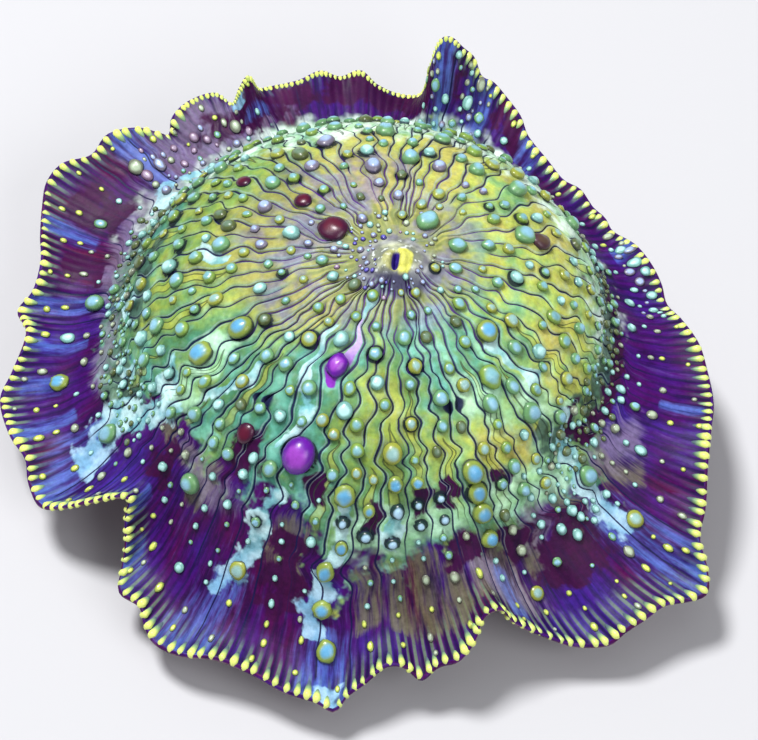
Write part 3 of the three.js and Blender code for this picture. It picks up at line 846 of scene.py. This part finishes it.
def make_beads(material):
    """The beads of the rim: teardrops with their heads on the edge and tails that sink into the skirt."""
    ball, ball_faces = ellipsoid(12, 10)
    cells = [(ray, BACK_BEADS_PER_RAY if ray in BACK_EDGE else BEADS_PER_RAY) for ray in range(RAYS)]
    ray = np.concatenate([first + (np.arange(many) + 0.5) / many for first, many in cells])
    many = np.concatenate([np.full(many, many) for _, many in cells])
    count = len(ray)
    ray = ray + rng.uniform(-0.14, 0.14, count) / many
    cluster = ring_average(rng.random((count, 1)), 3 / count)[:, 0] * 2.2 - 0.6
    swell = np.clip(0.5 * cluster + 0.5 * rng.random(count), 0, 1)
    bearing = np.degrees(bearing_at(ray)) % 360
    back = many == BACK_BEADS_PER_RAY
    front = smooth_step(200, 228, bearing) * smooth_step(384, 350, bearing)
    radius = np.where(back, 0.24, 0.27) + 0.25 * swell * np.where(back, 0.4, 1) + 0.05 * front
    length = radius + np.where(back, 0.1, 0.3 + 0.6 * swell + (0.3 + 0.7 * front) * rng.random(count))
    points, faces, tail = [], [], []
    ring_length = read_table(LENGTH, ray, 2.0) - read_table(LENGTH, ray, 1.0)
    for i in range(count):
        from_head = 0.5 - 0.5 * ball[:, 0]
        head = np.clip(1 - from_head / 0.5, 0, 1)
        slim = np.where(ball[:, 0] > 0, 1, (1 + 0.6 * ball[:, 0]) ** 0.4)
        run = np.where(ball[:, 0] > 0, ball[:, 0] * radius[i], ball[:, 0] * length[i])
        share = 2 - 0.16 * radius[i] / ring_length[i] + run / ring_length[i]
        beyond = np.maximum(share - 2, 0) * ring_length[i]
        share = np.minimum(share, 2)
        side_shift = ball[:, 1] * radius[i] * slim
        out, side, up = skin_axes(np.full(len(ball), ray[i]), np.minimum(share, 1.99))
        spot = skin(np.full(len(ball), ray[i]), share) + out * beyond[:, None]
        sink = -0.30 * RIM_THICKNESS * head * (not back[i]) - 0.12 * (1 - head)
        lift = ball[:, 2] * radius[i] * slim
        points.append(spot + side * side_shift[:, None] + up * (lift + sink)[:, None])
        faces += [tuple(k + i * len(ball) for k in face) for face in ball_faces]
        tail.append(np.clip((-run - 0.3 * radius[i]) / 1.3, 0, 1))
    piece = make_object("rim_beads", np.vstack(points), faces, material)
    give_values(piece, "tail", np.concatenate(tail))
    give_values(piece, "swell", np.repeat(swell, len(ball)))
    pack_round(piece, ball, count)
    return piece


# ---- Shader nodes ----

class Signal:
    """A value inside a node tree. Arithmetic with it makes math nodes."""

    def __init__(self, paint, socket):
        self.paint = paint
        self.socket = socket

    def __add__(self, other):
        return self.paint.math("ADD", self, other)

    def __sub__(self, other):
        return self.paint.math("SUBTRACT", self, other)

    def __rsub__(self, other):
        return self.paint.math("SUBTRACT", other, self)

    def __mul__(self, other):
        return self.paint.math("MULTIPLY", self, other)

    def __truediv__(self, other):
        return self.paint.math("DIVIDE", self, other)

    def __pow__(self, other):
        return self.paint.math("POWER", self, other)

    def __abs__(self):
        return self.paint.math("ABSOLUTE", self)

    __radd__ = __add__
    __rmul__ = __mul__


class Painter:
    """Short names for the nodes that the materials and groups are built from."""

    def __init__(self, tree):
        self.tree = tree

    def node(self, kind, inputs=None, **settings):
        made = self.tree.nodes.new(kind)
        for name, value in settings.items():
            setattr(made, name, value)
        for name, value in (inputs or {}).items():
            self.feed(made.inputs[name], value)
        return made

    def made(self, kind, output, inputs=None, **settings):
        """Adds a node and gives one of its outputs."""
        return Signal(self, self.node(kind, inputs, **settings).outputs[output])

    def feed(self, socket, value):
        if isinstance(value, Signal):
            self.tree.links.new(value.socket, socket)
        elif isinstance(value, tuple) and socket.type == "RGBA":
            socket.default_value = (*value, 1)
        else:
            socket.default_value = value

    def math(self, operation, first, second=0.0, clamp=False):
        return self.made("ShaderNodeMath", 0, {0: first, 1: second}, operation=operation, use_clamp=clamp)

    def step(self, low, high, value):
        """An S from 0 at low to 1 at high. low may be the larger one."""
        inputs = {"Value": value, "From Min": low, "From Max": high}
        return self.made("ShaderNodeMapRange", "Result", inputs, interpolation_type="SMOOTHSTEP")

    def mix(self, factor, first, second, blend="MIX"):
        inputs = {0: factor, 6: first, 7: second}  # the sockets that mix colours
        return self.made("ShaderNodeMix", 2, inputs, data_type="RGBA", blend_type=blend, clamp_factor=True)

    def attribute(self, name, output="Fac"):
        return self.made("ShaderNodeAttribute", output, attribute_name=name)

    def noise(self, vector, scale, detail=2.0, roughness=0.5):
        inputs = {"Vector": vector, "Scale": scale, "Detail": detail, "Roughness": roughness}
        return self.made("ShaderNodeTexNoise", "Fac", inputs)

    def stretched_noise(self, vector, factors, detail=3.0, roughness=0.6):
        """Noise with its own scale along each axis of the vector."""
        scaled = self.made("ShaderNodeVectorMath", 0, {0: vector, 1: factors}, operation="MULTIPLY")
        return self.noise(scaled, 1.0, detail, roughness)

    def split(self, vector):
        parts = self.node("ShaderNodeSeparateXYZ", {0: vector})
        return [Signal(self, socket) for socket in parts.outputs]

    def ramp(self, value, stops):
        made = self.node("ShaderNodeValToRGB", {"Fac": value})
        bands = made.color_ramp
        while len(bands.elements) < len(stops):
            bands.elements.new(0.5)
        for element, (position, colour) in zip(bands.elements, stops):
            element.position = position
            element.color = (*colour, 1)
        return Signal(self, made.outputs["Color"])

    def group(self, tree, inputs):
        """Places a node group and gives its outputs by name."""
        made = self.node("ShaderNodeGroup", inputs, node_tree=tree)
        return {socket.name: Signal(self, socket) for socket in made.outputs}


def new_group(name, inputs, outputs):
    """A node group, a painter for its inside, its inputs as signals, and the sockets of its result."""
    tree = bpy.data.node_groups.new(name, "ShaderNodeTree")
    kinds = {"float": "NodeSocketFloat", "colour": "NodeSocketColor"}
    for socket, kind, default in inputs:
        made = tree.interface.new_socket(socket, in_out="INPUT", socket_type=kinds[kind])
        made.default_value = (*default, 1) if kind == "colour" else default
    for socket, kind in outputs:
        tree.interface.new_socket(socket, in_out="OUTPUT", socket_type=kinds[kind])
    paint = Painter(tree)
    source = paint.node("NodeGroupInput")
    given = {socket: Signal(paint, source.outputs[socket]) for socket, _, _ in inputs}
    return tree, paint, given, paint.node("NodeGroupOutput").inputs


def make_skin_grain():
    """Mottles a colour with the fine speckle of wet living skin, and gives its gloss and height."""
    tree, paint, given, result = new_group(
        "Skin grain",
        [("Colour", "colour", (0.5, 0.5, 0.5)), ("Speckle", "float", 0.3), ("Gloss", "float", 0.4)],
        [("Colour", "colour"), ("Roughness", "float"), ("Height", "float")],
    )
    place = paint.made("ShaderNodeTexCoord", "Object")
    fine = paint.noise(place, GRAIN_SCALE, 3.0, 0.6)
    uneven = paint.noise(place, 330.0) - 0.5
    gain = ((fine - 0.5) * 1.3 + uneven) * given["Speckle"] + 1.0
    spread = paint.made("ShaderNodeCombineColor", 0, {"Red": gain, "Green": gain, "Blue": gain})
    paint.feed(result["Colour"], paint.mix(1.0, given["Colour"], spread, "MULTIPLY"))
    paint.feed(result["Roughness"], paint.math("ADD", uneven * 0.35, given["Gloss"], clamp=True))
    paint.feed(result["Height"], fine)
    return tree


def make_ragged_edge():
    """Turns a soft mask into a patch with a ragged edge, as pigment ends in living skin."""
    tree, paint, given, result = new_group(
        "Ragged edge",
        [("Mask", "float", 0.0), ("Noise", "float", 0.5), ("Ragged", "float", 0.5),
         ("Softness", "float", 0.12)],
        [("Mask", "float")],
    )
    torn = given["Mask"] + (given["Noise"] - 0.5) * given["Ragged"]
    paint.feed(result["Mask"], paint.step(0.5 - given["Softness"], 0.5 + given["Softness"], torn))
    return tree


def new_material(name, painter=Painter):
    material = bpy.data.materials.new(name)
    material.use_nodes = True
    tree = material.node_tree
    tree.nodes.clear()
    paint = painter(tree)
    shader = paint.node("ShaderNodeBsdfPrincipled")
    output = paint.node("ShaderNodeOutputMaterial")
    tree.links.new(shader.outputs[0], output.inputs["Surface"])
    return material, paint, shader


def give_skin(paint, shader, grain, colour, speckle, gloss, bump, relief=None):
    """Lays the grain over a colour and feeds the shader. bump is its strength and its distance in metres."""
    skin_out = paint.group(grain, {"Colour": colour, "Speckle": speckle, "Gloss": gloss})
    height = skin_out["Height"] if relief is None else skin_out["Height"] * 0.35 + relief
    inputs = {"Strength": bump[0], "Distance": bump[1], "Height": height}
    paint.feed(shader.inputs["Base Color"], skin_out["Colour"])
    paint.feed(shader.inputs["Roughness"], skin_out["Roughness"])
    paint.feed(shader.inputs["Normal"], paint.made("ShaderNodeBump", 0, inputs))


def give_wet_coat(shader):
    shader.inputs["Coat Weight"].default_value = 0.15
    shader.inputs["Coat Roughness"].default_value = 0.2


class FleshPainter(Painter):
    """A painter with the places, values and noises that every part of the flesh shares."""

    def __init__(self, tree):
        super().__init__(tree)
        self.place = self.made("ShaderNodeTexCoord", "Object")
        self.ray = self.split(self.made("ShaderNodeUVMap", 0, uv_map="rays"))[0]
        self.share = self.attribute("share")
        self.grid = self.attribute("grain", "Vector")
        self.inland = self.attribute("inland")
        self.wander = self.noise(self.place, 420.0)
        self.blotch = self.noise(self.place, 260.0, 3.0, 0.6)
        self.streaks = self.stretched_noise(self.grid, (1.3, 1.3, 0.10))
        self.fibres = self.stretched_noise(self.grid, (4.2, 4.2, 0.14), roughness=0.65)
        self.grooves = self.stretched_noise(self.grid, (2.4, 2.4, 0.06))
        # how far each point is from its ridge's middle, in rays, and from the furrow, in millimetres
        self.gap = self.attribute("gap")
        self.fraction = self.math("FRACT", self.ray)
        self.off_middle = abs(self.fraction - 0.5)
        self.from_furrow = (0.5 - self.off_middle) * self.gap
        # each ridge has a tone of its own
        self.own = self.made("ShaderNodeTexWhiteNoise", 0, {"W": self.math("FLOOR", self.ray)},
                             noise_dimensions="1D")

    def two_tone(self, low, high, value, first, second):
        return self.mix(self.step(low, high, value), first, second)


def paint_dome(paint):
    """Yellow and green ridges, each with its own tone, and with patches drawn out along it."""
    step, mix, noise, place, share = paint.step, paint.mix, paint.noise, paint.place, paint.share
    patches = paint.stretched_noise(paint.grid, (0.33, 0.33, 0.16))
    warm = paint.attribute("warm")
    tone = paint.own * 0.16 + patches * 0.9 + paint.blotch * 0.8 + warm * 0.36 - 0.55
    dome = paint.ramp(tone, [
        (0.18, (0.22, 0.62, 0.52)), (0.30, (0.13, 0.40, 0.26)), (0.42, (0.17, 0.38, 0.15)),
        (0.54, (0.31, 0.52, 0.16)), (0.68, (0.51, 0.60, 0.11)), (0.86, (0.54, 0.50, 0.12)),
    ])
    minty = step(0.53, 0.64, noise(place, 330.0)) * (1.0 - warm) * step(0.25, 0.5, share)
    dome = mix(minty * 0.7, dome, (0.30, 0.72, 0.60))
    veil = step(0.5, 0.72, noise(place, 900.0, 4.0, 0.65))
    dome = mix(veil * 0.3, dome, (0.42, 0.50, 0.46))
    from_mouth = share + patches * 0.3 - paint.attribute("tan") * 0.22 - 0.15
    mauve_tan = paint.two_tone(0.38, 0.56, paint.blotch, (0.27, 0.19, 0.34), (0.42, 0.38, 0.12))
    dome = mix(step(0.42, 0.2, from_mouth) * 0.75, dome, mauve_tan)

    # painted light: the side of each ridge that faces the front is lit blue-green
    to_right = step(-0.008, 0.012, paint.split(place)[0])
    to_front = (1.0 - paint.fraction * 2.0) * to_right + paint.fraction
    front_side_light = step(0.5, 0.85, to_front) * step(0.42, 0.6, noise(place, 300.0, 3.0)) * (1.0 - warm * 0.8)
    dome = mix(front_side_light * step(0.2, 0.4, share) * 0.6, dome, (0.15, 0.52, 0.44))
    deep = paint.attribute("deep") * step(0.2, 0.5, noise(place, 210.0))
    dome = mix(deep * 0.85, dome, mix(1.0, dome, (0.42, 0.56, 0.50), "MULTIPLY"))
    shade = step(0.42, 0.06, paint.from_furrow) * step(0.38, 0.62, paint.blotch)
    return mix(shade * 0.6, dome, mix(0.8, dome, (0.03, 0.10, 0.05)))


def paint_skirt(paint):
    """Streaks of purple, violet and maroon, and ribs at the rim. Also gives the ribs' relief."""
    step, mix, fibres, inland = paint.step, paint.mix, paint.fibres, paint.inland
    clouds = paint.stretched_noise(paint.grid, (0.34, 0.34, 0.10), 2.0, 0.5)
    skirt = paint.ramp(paint.streaks * 0.5 + clouds * 0.5, [
        (0.36, (0.085, 0.001, 0.045)), (0.45, (0.062, 0.001, 0.095)), (0.54, (0.050, 0.004, 0.160)),
        (0.64, (0.045, 0.012, 0.24)), (0.78, (0.05, 0.05, 0.34)),
    ])
    skirt = mix(step(0.50, 0.36, fibres) * 0.6, skirt, (0.010, 0.002, 0.035))
    skirt = mix(step(0.56, 0.70, fibres) * 0.35, skirt, (0.12, 0.06, 0.28))
    near_rim = step(13.0, 2.0, paint.streaks * 8.0 + inland)
    rib = paint.math("COSINE", (paint.ray * float(BEADS_PER_RAY) - 0.5) * (2 * math.pi)) * 0.5 + 0.5
    ribs = paint.attribute("ribs")
    far = ribs * 6.0 + 6.5
    pale_rib = step(0.5, 0.95, rib) * step(far, far - 5.0, clouds * 7.0 + inland)
    faint = step(26.0, 8.0, clouds * 14.0 + inland) * 0.55
    rib_line = step(0.45, 0.1, rib) * paint.math("MAXIMUM", near_rim, faint)
    skirt = mix(rib_line * 0.9, skirt, (0.006, 0.005, 0.045))
    skirt = mix(pale_rib * 0.75, skirt, mix(ribs, (0.075, 0.12, 0.17), (0.16, 0.24, 0.14)))
    return skirt, rib * near_rim * 0.9


def paint_thin_pairs(paint, colour, on_dome):
    """Thin pairs of furrows, with a yellow wedge between each pair. Also gives their lines."""
    pin = paint.attribute("pin")
    from_pair = paint.off_middle - paint.step(-0.2, 4.0, pin) * 0.19
    on_pin = paint.step(0.0, 0.4, pin) * paint.step(13.0, 8.0, pin) * on_dome
    lines = paint.step(0.11, 0.05, abs(from_pair) * paint.gap) * on_pin
    wedge = paint.step(0.02, -0.02, from_pair) * on_pin
    return paint.mix(wedge * 0.4, colour, (0.54, 0.55, 0.07)), lines


def paint_patches(paint, colour, ragged):
    """The strokes of colour, each with its own raggedness, softness, noise, strength and tint."""
    wander, fibres, two_tone = paint.wander, paint.fibres, paint.two_tone
    shred = (wander - 0.5) * 0.8 + paint.stretched_noise(paint.grid, (1.7, 1.7, 0.4))
    ice = two_tone(0.38, 0.62, wander, (0.20, 0.52, 0.58), (0.62, 0.92, 0.96))
    ice = paint.mix(paint.step(1.25, 1.6, paint.share) * 0.55, ice, (0.24, 0.44, 0.80))
    mint = two_tone(0.35, 0.65, wander, (0.34, 0.66, 0.34), (0.58, 0.94, 0.66))
    frost = two_tone(0.4, 0.6, wander, (0.50, 0.84, 0.56), (0.82, 1.0, 0.90))
    shade = two_tone(0.4, 0.6, wander, (0.010, 0.025, 0.035), (0.06, 0.14, 0.11))
    moss = paint.mix(fibres, (0.05, 0.03, 0.05), (0.26, 0.26, 0.10))
    blush = paint.mix(paint.streaks, (0.13, 0.07, 0.15), (0.42, 0.38, 0.54))
    plum = paint.mix(fibres, (0.008, 0.002, 0.040), (0.080, 0.003, 0.055))
    blue = two_tone(0.35, 0.65, fibres, (0.03, 0.03, 0.27), (0.10, 0.22, 0.72))
    violet = two_tone(0.35, 0.5, paint.share, (0.62, 0.50, 0.85), (0.24, 0.03, 0.46))
    strokes = [
        ("mint", 1.6, 0.3, wander, 0.8, mint), ("frost", 2.0, 0.3, wander, 0.85, frost),
        ("shade", 2.4, 0.2, wander, 0.85, shade), ("moss", 3.6, 0.5, fibres, 0.7, moss),
        ("blush", 3.0, 0.5, fibres, 0.55, blush), ("plum", 2.0, 0.2, shred, 1.0, plum),
        ("blue", 3.0, 0.7, fibres, 0.58, blue), ("pale", 1.9, 0.16, shred, 0.86, ice),
        ("magenta", 1.3, 0.14, wander, 1.0, violet),
    ]
    for name, ragged_by, softness, noise, strength, tint in strokes:
        patch = paint.attribute(name)
        torn = paint.group(ragged, {"Mask": patch, "Noise": noise, "Ragged": ragged_by, "Softness": softness})
        colour = paint.mix(torn["Mask"] * paint.step(0.0, 0.12, patch) * strength, colour, tint)
    return colour


def paint_mouth(paint, colour):
    """The mouth's lips and slit, the greyed skin round them and painted shade on the cone's front. Distances
    are in millimetres.
    """
    step, mix, wander = paint.step, paint.mix, paint.wander
    x, y = ((axis - float(middle) * MM) / MM for axis, middle in zip(paint.split(paint.place), LIPS))
    away = ((x * 0.85) ** 2.0 + y ** 2.0) ** 0.5
    greyed = paint.two_tone(0.4, 0.6, wander, (0.15, 0.14, 0.21), (0.44, 0.46, 0.46))
    colour = mix(step(5.6, 4.4, paint.blotch * 2.6 + away) * 0.85, colour, greyed)
    # painted shade on the front side of the cone, below the lips
    colour = mix(step(-0.6, -2.0, y) * step(4.2, 3.2, away) * 0.75, colour, (0.03, 0.03, 0.09))
    speckle = paint.noise(paint.place, 1500.0)
    cream = paint.two_tone(0.4, 0.6, wander, (0.24, 0.26, 0.20), (0.66, 0.70, 0.44))
    cream = mix(step(0.58, 0.68, speckle), cream, (0.76, 0.82, 0.78))
    lips_away = wander * 2.6 + away - y * 0.25
    colour = mix(step(4.0, 2.9, lips_away) * step(-1.9, -0.9, y), colour, cream)
    lip = paint.two_tone(0.35, 0.6, speckle, (0.74, 0.74, 0.10), (0.96, 0.96, 0.20))
    lip_away = wander * 1.4 + (abs(x - 0.7) ** 2.0 + abs(y) ** 2.0 * 0.5) ** 0.5
    colour = mix(step(1.95, 1.6, lip_away) * step(0.1, 0.5, x), colour, lip)
    colour = mix(step(1.6, 1.3, wander * 0.6 + away * 0.9) * 0.45, colour, (0.66, 0.64, 0.16))
    slit = abs((x - y * SLIT_LEAN) / SLIT_HALF_WIDTH) ** 2.0 + abs(y / SLIT_HALF_LENGTH) ** 4.0
    return mix(step(1.7, 0.7, slit), colour, (0.06, 0.03, 0.34))


def paint_lines(paint, colour, on_dome, pair_lines):
    """The furrows with a painted highlight along their edges, the dark rings round tentacles (partly dark
    skin, partly painted contact shadow), and the thin pairs.
    """
    step, mix, from_furrow = paint.step, paint.mix, paint.from_furrow
    furrow = paint.attribute("furrow")
    out_there = step(0.15, 0.6, paint.share)
    width = furrow * 0.035 + paint.wander * 0.05 + out_there * 0.045 + step(1.15, 2.6, furrow) * 0.4 - 0.012
    line = step(width * 1.6, width * 0.8, from_furrow) * step(0.05, 0.4, furrow)
    # painted highlight: a pale band along both edges of each furrow, where light would catch the groove's
    # lips
    furrow_edge_highlight = step(0.34, 0.22, from_furrow) * step(0.12, 0.2, from_furrow) * furrow * on_dome
    colour = mix(furrow_edge_highlight * 0.32, colour, (0.50, 0.68, 0.72))
    # dark rings round the tentacles: partly the skin's own dark rim and partly painted contact shadow
    ring = paint.attribute("ring")
    ring = paint.math("MAXIMUM", ring * 0.8, step(0.45, 0.75, ring) * 0.96)
    colour = mix(ring, colour, (0.005, 0.012, 0.022))
    colour = mix(pair_lines * 0.7, colour, (0.03, 0.045, 0.03))
    ink = mix(out_there, (0.10, 0.015, 0.24), (0.008, 0.007, 0.06))
    return mix(line * (out_there * 0.1 + 0.86), colour, ink)


def paint_underneath(paint, colour, below):
    """The skirt's lower side, then the column and its cut foot."""
    under = paint.two_tone(0.35, 0.65, paint.grooves, (0.06, 0.012, 0.07), (0.33, 0.19, 0.23))
    column = paint.two_tone(0.35, 0.6, paint.blotch, (0.36, 0.25, 0.30), (0.50, 0.40, 0.40))
    under = paint.mix(paint.step(2.6, 2.8, paint.grooves * 0.2 + paint.share), under, column)
    return paint.mix(below, colour, under)


def make_flesh_material(grain, ragged):
    material, paint, shader = new_material("Coral flesh", FleshPainter)
    skirt, rib_relief = paint_skirt(paint)
    edge = (paint.own - 0.5) * 2.6 + paint.attribute("dome")
    inputs = {"Mask": edge, "Noise": paint.blotch, "Ragged": 13.0, "Softness": 0.9}
    on_dome = paint.group(ragged, inputs)["Mask"]
    colour = paint.mix(on_dome, skirt, paint_dome(paint))
    colour, pair_lines = paint_thin_pairs(paint, colour, on_dome)
    colour = paint_patches(paint, colour, ragged)
    colour = paint_mouth(paint, colour)
    colour = paint_lines(paint, colour, on_dome, pair_lines)
    below = paint.step(2.02, 2.08, paint.share)
    colour = paint_underneath(paint, colour, below)
    relief = rib_relief - pair_lines + paint.grooves * below * 1.2
    give_skin(paint, shader, grain, colour, 0.7, 0.5, (0.55, 0.00018), relief)
    shader.inputs["Specular IOR Level"].default_value = 0.16
    return material


def make_tentacle_material(grain):
    material, paint, shader = new_material("Bubble tentacles")
    rise = paint.attribute("rise")
    crown_and_highlight = paint.attribute("crown_and_highlight", "Vector")
    flank = paint.attribute("flank", "Vector")
    wander = paint.noise(paint.made("ShaderNodeTexCoord", "Object"), 600.0)
    # the crown, partly the tip's own pale colour and partly a painted highlight, covers the top of each ball
    body = paint.mix(paint.step(0.62, 0.97, wander * 0.4 + rise - 0.2), flank, crown_and_highlight)
    # the base is darkened towards the skin: painted shade on every ball, and a dark rim as well on some
    dark_rim_and_shade = paint.step(0.6, 0.75, paint.attribute("spin")) * 0.45 + 0.4
    base = paint.mix(dark_rim_and_shade, flank, (0.012, 0.008, 0.045))
    colour = paint.mix(paint.step(0.42, 0.0, rise), body, base)
    give_skin(paint, shader, grain, colour, 0.4, 0.33, (0.25, 0.0001))
    give_wet_coat(shader)
    return material


def make_bead_material(grain):
    material, paint, shader = new_material("Rim beads")
    tail = paint.attribute("tail")
    head = paint.mix(paint.attribute("swell"), (0.60, 0.74, 0.20), (0.90, 0.96, 0.22))
    colour = paint.mix(paint.step(0.05, 0.5, tail), head, (0.28, 0.46, 0.20))
    colour = paint.mix(paint.step(0.4, 0.9, tail), colour, (0.10, 0.15, 0.18))
    give_skin(paint, shader, grain, colour, 0.2, 0.35, (0.2, 0.0001))
    give_wet_coat(shader)
    return material


# ---- Stage, lights and camera ----

def make_floor():
    material, paint, shader = new_material("Pale floor")
    shader.inputs["Base Color"].default_value = (0.6, 0.6, 0.62, 1)
    shader.inputs["Roughness"].default_value = 0.8
    bpy.ops.mesh.primitive_plane_add(size=4, location=(0, 0, LOW.z - 0.0002))
    floor = bpy.context.object
    floor.name = "floor"
    floor.data.materials.append(material)


def add_light(name, place, target, size, power):
    lamp = bpy.data.lights.new(name, "AREA")
    lamp.shape = "DISK"
    lamp.size = size
    lamp.energy = power
    holder = bpy.data.objects.new(name, lamp)
    bpy.context.collection.objects.link(holder)
    holder.location = place
    holder.rotation_euler = (Vector(target) - Vector(place)).to_track_quat("-Z", "Y").to_euler()


def make_lights():
    middle = (0, 0, 0.012)
    add_light("key", (-0.20, 0.17, 0.70), middle, 0.18, 6.0)
    add_light("fill", (0.40, -0.42, 0.55), middle, 0.5, 2.2)
    add_light("top", (0, 0, 0.9), middle, 0.7, 0.7)
    world = bpy.data.worlds.new("studio")
    bpy.context.scene.world = world
    world.use_nodes = True
    world.node_tree.nodes["Background"].inputs["Color"].default_value = (0.9, 0.93, 1.0, 1)
    world.node_tree.nodes["Background"].inputs["Strength"].default_value = 0.22


def make_camera():
    """Looks down on the polyp from the front, steeply enough to see its whole disc."""
    tilt = math.radians(60)
    distance = 0.350
    target = Vector((0.0016, -0.0036, LOW.z + TROUGH_HEIGHT * MM))
    place = target + distance * Vector((0, -math.cos(tilt), math.sin(tilt)))
    data = bpy.data.cameras.new("camera")
    data.sensor_width = 36
    data.lens = 145.4
    data.clip_start = 0.01
    camera = bpy.data.objects.new("camera", data)
    bpy.context.collection.objects.link(camera)
    camera.location = place
    camera.rotation_euler = (target - place).to_track_quat("-Z", "Y").to_euler()
    bpy.context.scene.camera = camera


make_camera()
make_lights()
make_floor()

skin_grain = make_skin_grain()
ragged_edge = make_ragged_edge()
flesh = make_flesh(make_flesh_material(skin_grain, ragged_edge))
tentacle_skin = make_tentacle_material(skin_grain)
tentacles = make_tentacles("tentacles", lambda radius: radius >= LARGE_TENTACLE, 16, 10, tentacle_skin)
bumps = make_tentacles("small_bumps", lambda radius: radius < LARGE_TENTACLE, 9, 6, tentacle_skin)
beads = make_beads(make_bead_material(skin_grain))
for piece in (flesh, tentacles, bumps, beads):
    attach(piece, "root")
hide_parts("polyp")

bpy.context.scene.view_settings.view_transform = "Standard"
